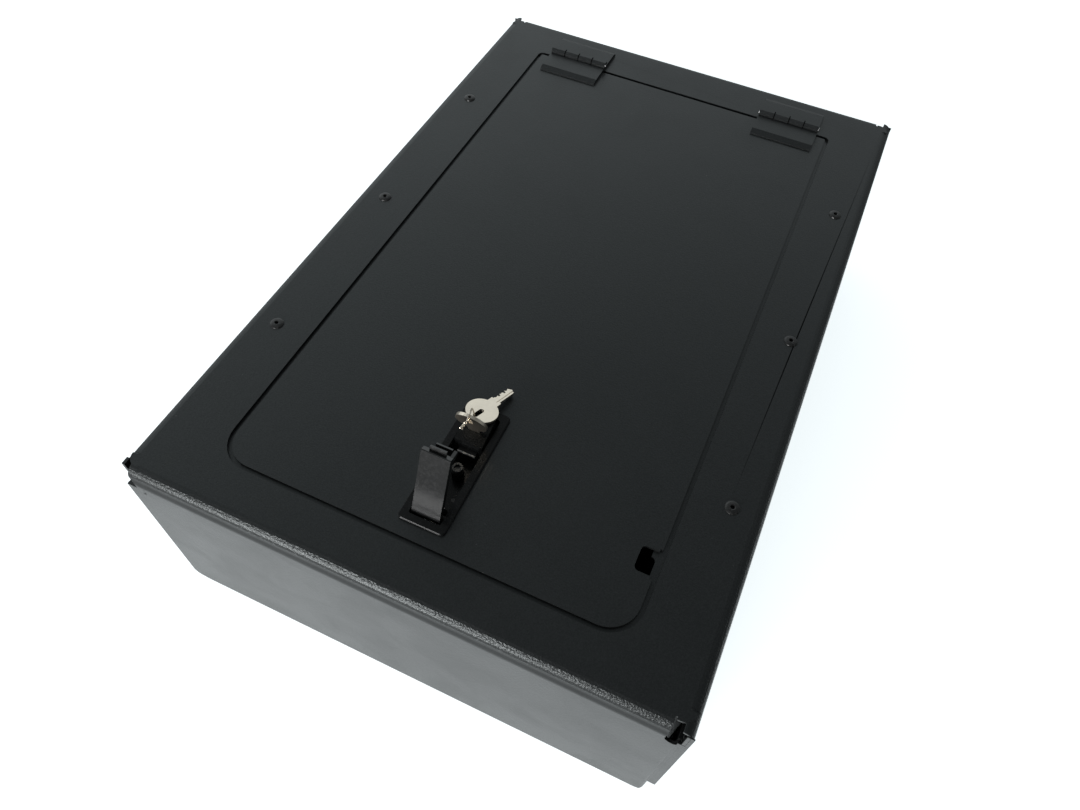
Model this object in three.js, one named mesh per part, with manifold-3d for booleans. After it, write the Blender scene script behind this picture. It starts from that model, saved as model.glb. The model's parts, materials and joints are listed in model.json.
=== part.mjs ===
// A vehicle security locker: a folded steel box that lies on its back, with a flush hinged door,
// a lift lever that draws a sliding bolt, a key lock that holds the folded lever, and two keys.
// Millimetres, +Z up. The origin is the middle of the footprint, X runs across the door,
// and Y runs from the handle end (near) to the hinge end (far).
import * as THREE from "three";
import { mergeVertices } from "three/addons/utils/BufferGeometryUtils.js";
import Module from "manifold-3d";

const wasm = await Module();
wasm.setup();

// Cabinet
const width = 362.6;
const length = 555;
const depth = 159;
const sheet = 2;
const bendRadius = 7;
const plateCorner = 7;
const plateInsetX = 2.8;
const plateInsetY = 5.6;
const reliefX = 13;
const reliefY = 14;
const reliefDrop = 20;
const reliefBite = 0.25;
const reliefSlit = 1.2;
const endWallInset = 4.3;
const endWallBend = 3;
const endWallCorner = 7;
const tabLength = 15;
const tabGap = 0.3;
const sideEndInset = 0.3;
const sideEndLift = 30;
const sideEndStep = 16;
const sideLift = 3;

// Door opening and door
const sideMargin = 46;
const nearMargin = 30.9;
const farMargin = 43.9;
const doorGap = 3;
const doorNearCorner = 19;
const doorFarCorner = 1.5;
const stopOverlap = 8;
const stopThickness = 1.5;
const stopFlange = 12;
const stopCorner = 3;
const notchWidth = 12;
const notchLength = 16.5;
const notchSetback = 38.5;
const notchCorner = 3;
const notchStopStrip = 5;
const notchFlare = 1.6;

// Back panel and side brackets
const backClearance = 0.4;
const backUpstand = 14;
const mountHole = 4.25;
const mountInsetX = 71.3;
const mountInsetY = 77.5;
const bracketGap = 2.7;
const bracketPanelGap = 1.6;
const bracketPastRivets = 23;

// Pop rivets in the face
const rivetSpacing = 142;
const rivetMiddle = -1.5;
const rivetShank = 2.4;
const rivetFlange = 4.8;
const rivetDome = 1.3;
const rivetHole = 1.4;
const rivetBulb = 3.5;
const rivetTail = 4.5;
const holeClearance = 0.15;

// Hinges
const hingeInset = 37.3;
const hingeWidth = 52;
const hingeBeyondOpening = 2.4;
const hingeAxisHeight = 3.7;
const barrelAcrossFlats = 6.4;
const knuckles = 4;
const knuckleGap = 0.4;
const knuckleRelief = 0.5;
const pinProud = 0.5;
const leafThickness = 3;
const leafLength = 25.5;
const doorLeafLength = 28;
const leafBevel = 5;
const leafEdge = 1.2;
const pinRadius = 1.5;
const studRadius = 2.5;
const studSpacing = 30;
const studFromAxis = 17;
const nutFlats = 8;
const nutHeight = 4;
const runningGap = 0.15;

// Handle dish
const flangeWidth = 30.6;
const flangeThickness = 2;
const flangeCorner = 3;
const flangeChamfer = 0.6;
const handleSetback = 9.1;
const nearRim = 5;
const farRim = 5.5;
const dishWidth = 20.8;
const dishDepth = 14;
const dishWall = 1.5;
const dishFloor = 2;
const dishEndGap = 1.4;
const cutoutClearance = 0.5;

// Lever
const leverRaise = 66.4;
const pivotFromDish = 6.4;
const pivotDepth = 0.5;
const leverSideGap = 1.2;
const leverTop = 5.4;
const leverUnder = 1.8;
const leverWall = 2;
const leverEdge = 0.5;
const faceStart = 2.3;
const heelRadius = 5;
const heelLength = 8.5;
const heelTurn = 37;
const hookWidth = 10.4;
const hookTabReach = 2.6;
const hookTabThickness = 1.3;
const hookTabGap = 0.6;
const hookDrop = 6.3;
const hookLip = 1.3;
const hookWall = 1.5;
const hookSetback = 0.9;
const hookTongueGap = 0.7;
const hookPostGap = 1.7;
const lugReach = 1.4;
const lugDrop = 5.6;
const lugLength = 3.4;
const crankRadius = 10;
const crankWidth = 5;
const crankTip = 2.2;
const drivePinRadius = 1.5;
const drivePinProud = 0.6;
const springWire = 0.7;
const springRadius = 2.6;
const springTurns = 3;
const springPocketWall = 1.2;

// Sliding bolt, its guide and the strike plate
const boltWidth = 16;
const boltThickness = 3;
const boltUnderDish = 0.6;
const boltProjection = 4.3;
const boltMargin = 3;
const earThickness = 2;
const earLength = 7;
const earGap = 0.4;
const slideGap = 0.3;
const guideThickness = 2;
const guideScrewRadius = 1.5;
const guideScrewSpacing = 10;
const guideTab = 7.6;
const guideEndGap = 1;
const strikeWidth = 34;
const strikeThickness = 2;
const strikeFlange = 14;
const strikeLip = 7;
const strikeInset = 4.5;
const strikeClearance = 0.6;

// Mounting post, screw and bridge
const postRadius = 4;
const postTopDepth = 5.4;
const mountScrewHead = 3.3;
const mountScrewHeadHeight = 2.4;
const mountScrewSocket = 2.2;
const mountScrewSocketDepth = 1.7;
const mountScrewShank = 2;
const mountScrewTip = 1.5;
const bridgeSpan = 40;
const bridgeWidth = 12;
const bridgeThickness = 2.7;
const bridgeLeg = 3;
const bridgeGap = 6.2;

// Lock
const housingSideGap = 1.05;
const housingRise = 4;
const housingBackWall = 1.9;
const housingScrewRadius = 1.25;
const housingScrewReach = 5;
const lockTilt = 14.6;
const lockFaceRun = 9.6;
const barrelRadius = 8;
const barrelLength = 11;
const plugRadius = 6.35;
const plugTailRadius = 5.3;
const plugTongueGap = 0.6;
const clipInset = 0.6;
const clipThickness = 1;
const clipBite = 0.9;
const clipFit = 0.3;
const eccentric = 2.5;
const eccentricPin = 1.2;
const eccentricFloorGap = 0.67;
const tongueWidth = 12;
const tongueThickness = 1.6;
const tongueLipGap = 0.5;
const tongueRiserInset = 0.6;
const tongueHeel = 2.1;
const tongueSlotMargin = 0.45;
const tongueEnd = 1.44;
const tongueScrewGap = 1.06;

// Keys and their wire
const keyThickness = 2;
const bowRadius = 10.4;
const bowToShoulder = 13.8;
const neckHalf = 3.85;
const bladeHalf = 2.7;
const bladeLength = 15.2;
const bladeToeFrom = 3.4;
const keyGrooveDepth = 0.4;
const keySlotWidth = 3.2;
const keySlotStart = -1;
const keySlotEnd = 7.8;
const bitting = [0.7, 1.5, 0.5, 1.9, 1.0];
const keyClearance = 0.3;
const keywayEndGap = 0.6;
const wireRadius = 0.45;
const wireLoopGap = 1.1;
const wireTightGap = 0.7;
const wireTail = 5.2;
const wireTwist = 0.75;
const spareYaw = 15.7;
const sparePitch = 14.5;
const spareX = -1;
const spareBehindHousing = 2.5;
const spareAboveHousing = 1.26;

// Places worked out from the sizes
const top = depth;
const rad = THREE.MathUtils.degToRad;
const openingNear = -length / 2 + nearMargin;
const openingFar = length / 2 - farMargin;
const openingHalf = width / 2 - sideMargin;
const doorNear = openingNear + doorGap;
const doorFar = openingFar - doorGap;
const doorHalf = openingHalf - doorGap;
const endHalf = width / 2 - endWallInset;
const panelHalfX = endHalf - sheet - backClearance;
const panelHalfY = length / 2 - sheet - backClearance;
const bracketWebX = openingHalf + stopFlange + bracketGap;
const bracketOuterX = panelHalfX - sheet - bracketPanelGap;
const bracketHalfLength = rivetSpacing + bracketPastRivets;
const rivetX = (bracketWebX + bracketOuterX) / 2;
const hingeOffset = openingHalf - hingeInset;
const hingeAxisY = openingFar + hingeBeyondOpening;
const hingeAxisZ = top + hingeAxisHeight;
const flangeNear = doorNear + handleSetback;
const dishNear = flangeNear + nearRim;
const floorTop = top - dishDepth;
const floorUnder = floorTop - dishFloor;
const pivotY = dishNear + pivotFromDish;
const pivotZ = top - pivotDepth;
const leverWidth = dishWidth - 2 * leverSideGap;
const crankHalfTurn = rad(leverRaise / 2);
const boltTravel = 2 * crankRadius * Math.sin(crankHalfTurn);
const boltTop = floorUnder - boltUnderDish;
const boltUnder = boltTop - boltThickness;
const strikeFar = openingNear + strikeInset;
const strikeNear = strikeFar - strikeThickness;
const boltTip = strikeNear - boltProjection + boltTravel;
const boltEnd = pivotY + boltTravel / 2 + earLength / 2 + boltMargin;
const guideTabStart = boltEnd + guideEndGap + guideThickness;
const guideTabEnd = guideTabStart + guideTab;
const postY = guideTabEnd + bridgeGap + bridgeWidth / 2;
const tiltSin = Math.sin(rad(lockTilt));
const tiltCos = Math.cos(rad(lockTilt));
const eccentricOffset = eccentric * Math.sin(rad(45));
const tongueTravel = 2 * eccentricOffset * tiltCos;
const hookThroat = tongueTravel + slideGap - hookTongueGap;
const hookInner = postY + postRadius + hookPostGap - pivotY;
const hookEnd = hookInner + hookWall + hookThroat;
const leverReach = hookEnd + hookSetback;
const housingNear = pivotY + leverReach + hookTabReach + hookTabGap;
const lockFace = new THREE.Vector3(
  0,
  housingNear + lockFaceRun * tiltCos,
  top + housingRise + lockFaceRun * tiltSin,
);
const lockAxis = new THREE.Vector3(0, -tiltSin, tiltCos);
const lockFarSide = new THREE.Vector3(0, tiltCos, tiltSin);
const tongueUnder = floorTop + slideGap;
const tongueLowTop = tongueUnder + tongueHeel;
const tongueTipUnder = pivotZ - hookDrop + hookLip + tongueLipGap;
const tongueTip = pivotY + hookEnd + hookTongueGap;
const clipDepth = barrelLength + 2 * slideGap;
const plugTailRise = plugTailRadius * tiltSin + plugTongueGap;
const plugLength = (lockFace.z - tongueLowTop - plugTailRise) / tiltCos;
const eccentricDepth = (lockFace.z - tongueUnder - eccentricFloorGap) / tiltCos;
const tonguePin = lockPoint(eccentricDepth - tongueHeel / 2, eccentricOffset);
const tongueSlotHalf = eccentricPin + tongueSlotMargin;
const tongueFar = tonguePin.y + tongueSlotHalf + tongueEnd;
const housingScrewY = tongueFar + tongueScrewGap + housingScrewRadius;
const housingFar = housingScrewY + housingBackWall;
const dishFar = housingFar + dishEndGap;
const flangeFar = dishFar + farRim;
const X = new THREE.Vector3(1, 0, 0);
const Y = new THREE.Vector3(0, 1, 0);
const Z = new THREE.Vector3(0, 0, 1);

// A point at a depth under the lock's face, along its axis.
function lockPoint(depthBelow, farOffset = 0, x = 0) {
  return lockFace
    .clone()
    .addScaledVector(lockAxis, -depthBelow)
    .addScaledVector(lockFarSide, farOffset)
    .add(new THREE.Vector3(x, 0, 0));
}

// Solids and booleans

// A closed geometry as a solid that can be joined and cut.
function solid(geometry) {
  const bare = geometry.clone();
  bare.deleteAttribute("normal");
  bare.deleteAttribute("uv");
  const merged = mergeVertices(bare, 1e-4);
  return new wasm.Manifold(
    new wasm.Mesh({
      numProp: 3,
      vertProperties: merged.attributes.position.array,
      triVerts: new Uint32Array(merged.index.array),
    }),
  );
}

function union(first, ...others) {
  return others.reduce((all, next) => all.add(next), first);
}

function cut(body, ...tools) {
  return tools.reduce((left, tool) => left.subtract(tool), body);
}

// A solid as a geometry again.
function geometryOf(body) {
  const mesh = body.getMesh();
  const count = mesh.vertProperties.length / mesh.numProp;
  const points = new Float32Array(count * 3);
  for (let i = 0; i < count; i++) {
    const from = i * mesh.numProp;
    points.set(mesh.vertProperties.subarray(from, from + 3), i * 3);
  }
  const geometry = new THREE.BufferGeometry();
  geometry.setAttribute("position", new THREE.BufferAttribute(points, 3));
  geometry.setIndex(new THREE.BufferAttribute(new Uint32Array(mesh.triVerts), 1));
  geometry.computeVertexNormals();
  return geometry;
}

function box(x0, x1, y0, y1, z0, z1) {
  const geometry = new THREE.BoxGeometry(x1 - x0, y1 - y0, z1 - z0);
  return solid(geometry.translate((x0 + x1) / 2, (y0 + y1) / 2, (z0 + z1) / 2));
}

// A box that is centred on X.
function barX(halfWidth, y0, y1, z0, z1) {
  return box(-halfWidth, halfWidth, y0, y1, z0, z1);
}

// Each quarter turn of a shape's outline becomes twice curveSegments straight pieces.
function prism(shape, thickness, matrix, curveSegments = 3) {
  const settings = { depth: thickness, bevelEnabled: false, curveSegments };
  return solid(new THREE.ExtrudeGeometry(shape, settings).applyMatrix4(matrix));
}

// A shape drawn in X and Y, from z0 up to z1.
function prismZ(shape, z0, z1, curveSegments) {
  const matrix = new THREE.Matrix4().makeTranslation(0, 0, z0);
  return prism(shape, z1 - z0, matrix, curveSegments);
}

// A shape drawn in Y and Z, from x0 to x1.
function prismX(shape, x0, x1, curveSegments) {
  const matrix = new THREE.Matrix4().makeBasis(Y, Z, X).setPosition(x0, 0, 0);
  return prism(shape, x1 - x0, matrix, curveSegments);
}

// A shape drawn in X and Z, from y0 to y1.
function prismY(shape, y0, y1, curveSegments) {
  const matrix = new THREE.Matrix4().makeBasis(X, Z, Y.clone().negate()).setPosition(0, y1, 0);
  return prism(shape, y1 - y0, matrix, curveSegments);
}

// A round bar from one point to another.
function rod(from, to, radius, sides = 12) {
  const along = to.clone().sub(from);
  const geometry = new THREE.CylinderGeometry(radius, radius, along.length(), sides);
  const turn = new THREE.Quaternion().setFromUnitVectors(Y, along.clone().normalize());
  geometry.applyQuaternion(turn);
  const middle = from.clone().add(to).multiplyScalar(0.5);
  return solid(geometry.translate(middle.x, middle.y, middle.z));
}

function rodX(x0, x1, y, z, radius, sides) {
  return rod(new THREE.Vector3(x0, y, z), new THREE.Vector3(x1, y, z), radius, sides);
}

function rodY(y0, y1, x, z, radius, sides) {
  return rod(new THREE.Vector3(x, y0, z), new THREE.Vector3(x, y1, z), radius, sides);
}

function rodZ(z0, z1, x, y, radius, sides) {
  return rod(new THREE.Vector3(x, y, z0), new THREE.Vector3(x, y, z1), radius, sides);
}

// A profile of [radius, height] pairs turned about a vertical axis.
function turned(profile, x, y, z, sides = 16) {
  const points = profile.map(([radius, height]) => new THREE.Vector2(radius, height));
  const geometry = new THREE.LatheGeometry(points, sides).rotateX(Math.PI / 2);
  return solid(geometry.translate(x, y, z));
}

function polygon(points) {
  return new THREE.Shape(points.map(([u, v]) => new THREE.Vector2(u, v)));
}

// A rectangle whose corners are rounded by their own radii, in the order
// low-low, high-low, high-high, low-high.
function roundedRect(u0, u1, v0, v1, r00, r10 = r00, r11 = r00, r01 = r00) {
  const shape = new THREE.Shape();
  shape.moveTo(u0 + r00, v0);
  shape.lineTo(u1 - r10, v0);
  shape.absarc(u1 - r10, v0 + r10, r10, -Math.PI / 2, 0);
  shape.lineTo(u1, v1 - r11);
  shape.absarc(u1 - r11, v1 - r11, r11, 0, Math.PI / 2);
  shape.lineTo(u0 + r01, v1);
  shape.absarc(u0 + r01, v1 - r01, r01, Math.PI / 2, Math.PI);
  shape.lineTo(u0, v0 + r00);
  shape.absarc(u0 + r00, v0 + r00, r00, Math.PI, 1.5 * Math.PI);
  return shape;
}

// The section of a sheet folded down at both ends: half is half its outer span.
function foldedSection(half, low, high, outerRadius, thickness) {
  const inner = outerRadius - thickness;
  const shape = new THREE.Shape();
  shape.moveTo(-half, low);
  shape.lineTo(-half + thickness, low);
  shape.lineTo(-half + thickness, high - outerRadius);
  shape.absarc(-half + outerRadius, high - outerRadius, inner, Math.PI, Math.PI / 2, true);
  shape.lineTo(half - outerRadius, high - thickness);
  shape.absarc(half - outerRadius, high - outerRadius, inner, Math.PI / 2, 0, true);
  shape.lineTo(half - thickness, low);
  shape.lineTo(half, low);
  shape.lineTo(half, high - outerRadius);
  shape.absarc(half - outerRadius, high - outerRadius, outerRadius, 0, Math.PI / 2);
  shape.lineTo(-half + outerRadius, high);
  shape.absarc(-half + outerRadius, high - outerRadius, outerRadius, Math.PI / 2, Math.PI);
  return shape;
}

// A mesh with its name, finish and place.
function piece(name, body, finish) {
  const mesh = new THREE.Mesh(geometryOf(body), new THREE.MeshStandardMaterial(finish));
  mesh.name = name;
  return mesh;
}

const powderCoat = { color: 0x1d1f20, roughness: 0.62, metalness: 0 };
const handleBlack = { color: 0x0b0c0d, roughness: 0.28, metalness: 0 };
const zincSteel = { color: 0xa9abac, roughness: 0.35, metalness: 1 };
const nickel = { color: 0xd9cfbe, roughness: 0.3, metalness: 1 };
const rivetBlack = { color: 0x141516, roughness: 0.4, metalness: 0.2 };

// Cabinet

const rivetRows = [-1, 0, 1].map((row) => rivetMiddle + row * rivetSpacing);
const hingeCentres = [-hingeOffset, hingeOffset];

function studPlaces(side) {
  return hingeCentres.flatMap((centre) =>
    [-studSpacing / 2, studSpacing / 2].map((dx) => [centre + dx, hingeAxisY + side * studFromAxis]),
  );
}

function openingOutline(grow) {
  const half = openingHalf + grow;
  const nearR = doorNearCorner + doorGap;
  const farR = doorFarCorner + doorGap;
  return roundedRect(-half, half, openingNear - grow, openingFar + grow, nearR, nearR, farR, farR);
}

// The near and far walls, their bends and the tabs that turn in behind the side walls.
function endWalls() {
  const bent = prismX(
    foldedSection(length / 2, 0, top, bendRadius, sheet),
    -width / 2 + reliefX,
    width / 2 - reliefX,
  );
  const strip = cut(bent, box(-width, width, -length / 2 + reliefY, length / 2 - reliefY, -1, top + 1));
  const walls = [-1, 1].map((side) => {
    const section = foldedSection(endHalf, -tabLength, 0, endWallBend, sheet);
    const raised = prismZ(section, 0, top - reliefDrop);
    const facing = side < 0 ? raised.rotate([0, 0, 180]) : raised;
    return facing.translate([0, (side * length) / 2, 0]);
  });
  const corners = [-1, 1].flatMap((sx) =>
    [-1, 1].flatMap((sy) => [
      endCornerCut(sx, (sy * length) / 2),
      reliefCut(sx, (sy * length) / 2),
    ]),
  );
  return cut(union(strip, ...walls), ...corners);
}

// What rounds the low corner of an end wall.
function endCornerCut(side, y) {
  const r = endWallCorner;
  const square = box(endHalf - r, endHalf + 1, y - sheet - 1, y + sheet + 1, -1, r);
  const round = rodY(y - sheet - 2, y + sheet + 2, endHalf - r, r, r, 20);
  const tool = square.subtract(round);
  return side < 0 ? tool.mirror([1, 0, 0]) : tool;
}

// The round bite beside the end of a bend, out of an end wall's top corner.
function reliefCut(side, y) {
  const bendEnd = width / 2 - reliefX;
  const radius = (endHalf - bendEnd) / 2 + reliefBite;
  const x = (side * (endHalf + bendEnd)) / 2;
  return rodY(y - sheet - 1, y + sheet + 1, x, top - reliefDrop, radius, 20);
}

// The side walls, their bends, and the short returns at their ends beside the end walls.
function sideWalls() {
  const bent = prismY(
    foldedSection(width / 2, sideLift, top, bendRadius, sheet),
    -length / 2 + reliefY,
    length / 2 - reliefY,
  );
  const strips = cut(bent, box(-width / 2 + reliefX, width / 2 - reliefX, -length, length, -1, top + 1));
  const end = length / 2 - sideEndInset;
  const footEnd = end - sideEndStep;
  const outer = width / 2;
  const raised = top - reliefDrop;
  const returns = [-end, end - sheet].map((y) =>
    box(endHalf + tabGap, outer, y, y + sheet, sideEndLift, raised),
  );
  const wall = union(
    box(outer - sheet, outer, -end, end, sideEndLift, raised),
    box(outer - sheet, outer, -footEnd, footEnd, sideLift, raised),
    ...returns,
  );
  return union(strips, wall, wall.mirror([1, 0, 0]));
}

// The flat of the face, cut back along each bend so that only its corners reach past them.
function facePlate() {
  const halfX = width / 2 - plateInsetX;
  const halfY = length / 2 - plateInsetY;
  const plate = prismZ(roundedRect(-halfX, halfX, -halfY, halfY, plateCorner), top - sheet, top, 4);
  const sideEnd = length / 2 - reliefY + reliefSlit;
  const farEnd = width / 2 - reliefX + reliefSlit;
  const sideEdge = box(width / 2 - bendRadius, width, -sideEnd, sideEnd, top - 5, top + 1);
  const farEdge = barX(farEnd, length / 2 - bendRadius, length, top - 5, top + 1);
  return cut(plate, sideEdge, sideEdge.mirror([1, 0, 0]), farEdge, farEdge.mirror([0, 1, 0]));
}

function cabinetShell() {
  const bends = union(facePlate(), endWalls(), sideWalls());
  const opening = prismZ(openingOutline(0), top - 10, top + 1, 4);
  const rivetHoles = [-1, 1].flatMap((side) =>
    rivetRows.map((y) => rodZ(top - 5, top + 1, side * rivetX, y, rivetShank + holeClearance)),
  );
  const studHoles = studPlaces(1).map(([x, y]) =>
    rodZ(top - 5, top + 1, x, y, studRadius + holeClearance),
  );
  return cut(bends, opening, ...rivetHoles, ...studHoles);
}

// A shallow tray that closes the back, with four mounting holes.
function backPanel() {
  const halfX = panelHalfX;
  const halfY = panelHalfY;
  const tray = cut(
    box(-halfX, halfX, -halfY, halfY, 0, backUpstand),
    box(-halfX + sheet, halfX - sheet, -halfY + sheet, halfY - sheet, sheet, backUpstand + 1),
  );
  const holes = [-1, 1].flatMap((sx) =>
    [-1, 1].map((sy) =>
      rodZ(
        -1,
        sheet + 1,
        sx * (width / 2 - mountInsetX),
        sy * (length / 2 - mountInsetY),
        mountHole,
        20,
      ),
    ),
  );
  return cut(tray, ...holes);
}

// A channel that stands on the back panel and carries the face plate's rivets.
function sideBracket(side) {
  const low = sheet;
  const high = top - sheet;
  const outer = bracketOuterX;
  const profile = polygon([
    [bracketWebX, low],
    [outer, low],
    [outer, low + sheet],
    [bracketWebX + sheet, low + sheet],
    [bracketWebX + sheet, high - sheet],
    [outer, high - sheet],
    [outer, high],
    [bracketWebX, high],
  ]);
  const channel = prismY(profile, rivetMiddle - bracketHalfLength, rivetMiddle + bracketHalfLength);
  const holes = rivetRows.map((y) =>
    rodZ(high - sheet - 1, high + 1, rivetX, y, rivetShank + holeClearance),
  );
  const body = cut(channel, ...holes);
  return side < 0 ? body.mirror([1, 0, 0]) : body;
}

// A pop rivet: domed flange with the mandrel's hole, shank, and the bulb behind the bracket.
function popRivet(x, y) {
  const seat = -2 * sheet;
  return turned(
    [
      [0, seat - rivetTail],
      [rivetBulb * 0.6, seat - rivetTail],
      [rivetBulb, seat - rivetTail * 0.5],
      [rivetShank, seat],
      [rivetShank, 0],
      [rivetFlange, 0],
      [rivetFlange - 0.2, rivetDome * 0.45],
      [rivetFlange * 0.7, rivetDome * 0.85],
      [rivetHole + 0.5, rivetDome],
      [rivetHole, rivetDome - 0.2],
      [rivetHole, -rivetDome],
      [0, -rivetDome],
    ],
    x,
    y,
    top,
  );
}

// The ledge under the face plate that the closed door rests on.
function doorStopFrame() {
  const outerHalf = openingHalf + stopFlange;
  const nearEdge = openingNear - stopFlange;
  const farEdge = openingFar + stopFlange;
  const outline = roundedRect(-outerHalf, outerHalf, nearEdge, farEdge, stopCorner);
  const ring = cut(
    prismZ(outline, top - sheet - stopThickness, top - sheet),
    prismZ(openingOutline(-stopOverlap), top - 10, top, 4),
  );
  const notchFar = doorNear + notchSetback + notchLength;
  const hole = roundedRect(
    doorHalf - notchWidth - 4,
    openingHalf - notchStopStrip,
    doorNear + notchSetback - 6,
    notchFar - notchStopStrip + 1,
    notchCorner,
  );
  return cut(ring, prismZ(hole, top - 10, top));
}

// The channel behind the near margin. The bolt slides in under its lower lip.
function strikePlate() {
  const under = top - sheet - stopThickness;
  const low = boltTop + strikeClearance;
  const half = strikeWidth / 2;
  const leg = barX(half, strikeNear, strikeFar, low, under);
  const flange = barX(half, strikeNear - strikeFlange, strikeNear, under - strikeThickness, under);
  const lip = barX(half, strikeNear - strikeLip, strikeNear, low, low + strikeThickness);
  return union(leg, flange, lip);
}

// Hinges

const knucklePitch = hingeWidth / knuckles;

function octagon(radius) {
  const corners = Array.from({ length: 8 }, (_, i) => {
    const angle = ((i + 0.5) * Math.PI) / 4;
    return [radius * Math.cos(angle), radius * Math.sin(angle)];
  });
  return polygon(corners);
}

// One leaf with its own knuckles. The fixed leaf (side 1) lies beyond the axis and has the
// first and third knuckles, the door leaf (side -1) has the others.
function hingeLeaf(centre, side) {
  const reach = side > 0 ? leafLength : doorLeafLength;
  const thick = leafThickness;
  const section = [
    [0, -hingeAxisHeight],
    [reach, -hingeAxisHeight],
    [reach, -hingeAxisHeight + leafEdge],
    [reach - leafBevel, -hingeAxisHeight + thick],
    [0, -hingeAxisHeight + thick],
  ];
  const points = side > 0 ? section : section.map(([u, v]) => [-u, v]).reverse();
  const left = centre - hingeWidth / 2;
  const plate = prismX(polygon(points), left, left + hingeWidth);
  const vertexRadius = barrelAcrossFlats / 2 / Math.cos(Math.PI / 8);
  const own = [];
  const others = [];
  for (let i = 0; i < knuckles; i++) {
    const x0 = left + i * knucklePitch;
    const mine = side > 0 ? i % 2 === 0 : i % 2 === 1;
    const lowEnd = i === 0 ? 0 : knuckleGap / 2;
    const highEnd = i === knuckles - 1 ? 0 : knuckleGap / 2;
    if (mine) {
      own.push(prismX(octagon(vertexRadius), x0 + lowEnd, x0 + knucklePitch - highEnd));
    } else {
      const from = x0 - knuckleGap / 2;
      const to = x0 + knucklePitch + knuckleGap / 2;
      others.push(rodX(from, to, 0, 0, vertexRadius + knuckleRelief, 16));
    }
  }
  const bore = rodX(left - 1, left + hingeWidth + 1, 0, 0, pinRadius + runningGap, 12);
  const studEnd = -hingeAxisHeight - sheet - nutHeight - 1;
  const studs = [-studSpacing / 2, studSpacing / 2].map((dx) =>
    rodZ(studEnd, -hingeAxisHeight + 0.5, centre + dx, side * studFromAxis, studRadius),
  );
  const leaf = union(cut(plate, ...others), ...own, ...studs);
  return cut(leaf, bore).translate([0, hingeAxisY, hingeAxisZ]);
}

function hingePin(centre) {
  const half = hingeWidth / 2 + pinProud;
  return rodX(centre - half, centre + half, hingeAxisY, hingeAxisZ, pinRadius, 12);
}

function studNut(x, y) {
  const radius = nutFlats / 2 / Math.cos(Math.PI / 6);
  const low = top - sheet - nutHeight;
  return cut(
    rodZ(low, top - sheet, x, y, radius, 6),
    rodZ(low - 1, top, x, y, studRadius + holeClearance),
  );
}

// Door

function doorPanel() {
  const outline = roundedRect(
    -doorHalf,
    doorHalf,
    doorNear,
    doorFar,
    doorNearCorner,
    doorNearCorner,
    doorFarCorner,
    doorFarCorner,
  );
  const plate = prismZ(outline, top - sheet, top, 4);
  const low = doorNear + notchSetback;
  const notch = roundedRect(doorHalf - notchWidth, doorHalf + 20, low, low + notchLength, notchCorner);
  const flareLow = low - notchFlare;
  const flareHigh = low + notchLength + notchFlare;
  const flare = roundedRect(doorHalf - notchFlare, doorHalf + 20, flareLow, flareHigh, 0.1);
  const around = dishWall + cutoutClearance;
  const halfHole = dishWidth / 2 + around;
  const hole = roundedRect(-halfHole, halfHole, dishNear - around, dishFar + around, dishWall);
  const studHoles = studPlaces(-1).map(([x, y]) =>
    rodZ(top - 5, top + 1, x, y, studRadius + holeClearance),
  );
  return cut(
    plate,
    prismZ(notch, top - 5, top + 1),
    prismZ(flare, top - 5, top + 1),
    prismZ(hole, top - 5, top + 1),
    ...studHoles,
  );
}

// Handle

// The cast dish: a flange on the door, a deep tray through it and the screw post.
function handleDish() {
  const half = flangeWidth / 2;
  const inner = dishWidth / 2;
  const outer = inner + dishWall;
  const rim = roundedRect(-half, half, flangeNear, flangeFar, flangeCorner);
  const trayOutline = roundedRect(-outer, outer, dishNear - dishWall, dishFar + dishWall, 1);
  const body = union(
    chamferedPlate(rim, top, top + flangeThickness, flangeChamfer),
    prismZ(trayOutline, floorUnder, top + flangeThickness / 2),
  );
  const hollow = prismZ(
    roundedRect(-inner, inner, dishNear, dishFar, dishWall),
    floorTop,
    top + flangeThickness + 1,
  );
  const post = rodZ(floorUnder + 0.5, top - postTopDepth, 0, postY, postRadius, 20);
  const screwHole = rodZ(floorUnder - 1, top, 0, postY, mountScrewShank + holeClearance);
  const slotHalf = crankWidth / 2 + earGap + earThickness + 3 * slideGap;
  const floorSlot = barX(slotHalf, dishNear, boltSlotEnd(), floorUnder - 1, floorTop + 1);
  const notchNear = dishNear - dishWall - 1;
  const notchTop = pivotZ - heelRadius;
  const wallNotch = barX(slotHalf, notchNear, dishNear + 1, floorUnder - 1, notchTop);
  const pinHole = rodX(-outer - 1, outer + 1, pivotY, pivotZ, pinRadius + runningGap);
  const guideHoles = guideScrewPlaces().map(([x, y]) =>
    rodZ(floorUnder - 1, floorTop + 1, x, y, guideScrewRadius + holeClearance),
  );
  const lockHole = rodZ(floorUnder - 1, floorTop + 1, 0, housingScrewY, housingScrewRadius + holeClearance);
  const shell = cut(body, hollow);
  return cut(union(shell, post), screwHole, floorSlot, wallNotch, pinHole, ...guideHoles, lockHole);
}

// A flat plate from z0 to z1 whose upper edge is chamfered.
function chamferedPlate(shape, z0, z1, chamfer) {
  const settings = {
    depth: z1 - z0,
    bevelThickness: chamfer,
    bevelSize: chamfer,
    bevelOffset: -chamfer,
    bevelSegments: 1,
    curveSegments: 3,
  };
  const plate = new THREE.ExtrudeGeometry(shape, settings).translate(0, 0, z0 - chamfer);
  const below = new THREE.BoxGeometry(2 * width, 2 * length, 2).translate(0, 0, z0 - 1);
  return cut(solid(plate), solid(below));
}

function boltSlotEnd() {
  return pivotY + boltTravel / 2 + earLength / 2 + 1;
}

function pivotPin() {
  const half = dishWidth / 2 + dishWall - runningGap;
  return rodX(-half, half, pivotY, pivotZ, pinRadius);
}

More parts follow.
